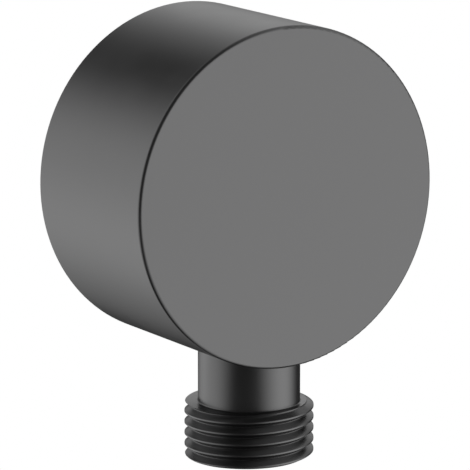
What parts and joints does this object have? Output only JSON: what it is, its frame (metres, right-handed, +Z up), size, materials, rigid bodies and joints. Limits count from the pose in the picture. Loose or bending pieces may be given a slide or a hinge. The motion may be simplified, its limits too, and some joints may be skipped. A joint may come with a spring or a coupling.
{
  "type": "wall outlet elbow",
  "caption": "Round wall outlet elbow in satin dark grey plated brass: a drum slides over a wall nipple, is held by a set screw and turns the water down into a threaded hose outlet.",
  "frame": {"origin": "on the wall's face, in the middle of the drum's back edge, where the wall thread begins", "axes": "+Z up, +Y along the wall thread into the wall, -Y out of the wall into the room, X across"},
  "size_m": [0.055, 0.0448, 0.0716],
  "materials": {
    "dark_plating": "satin dark grey plating over brass",
    "turned_brass": "bare brass, turned",
    "seal_rubber": "matt black rubber",
    "screw_steel": "stainless steel"
  },
  "bodies": {
    "root": {"outlet_body": "dark_plating", "hose_nipple": "dark_plating", "nipple_seal": "seal_rubber", "wall_nipple": "turned_brass", "front_spigot_seal": "seal_rubber", "rear_spigot_seal": "seal_rubber", "set_screw": "screw_steel"}
  },
  "joints": []
}
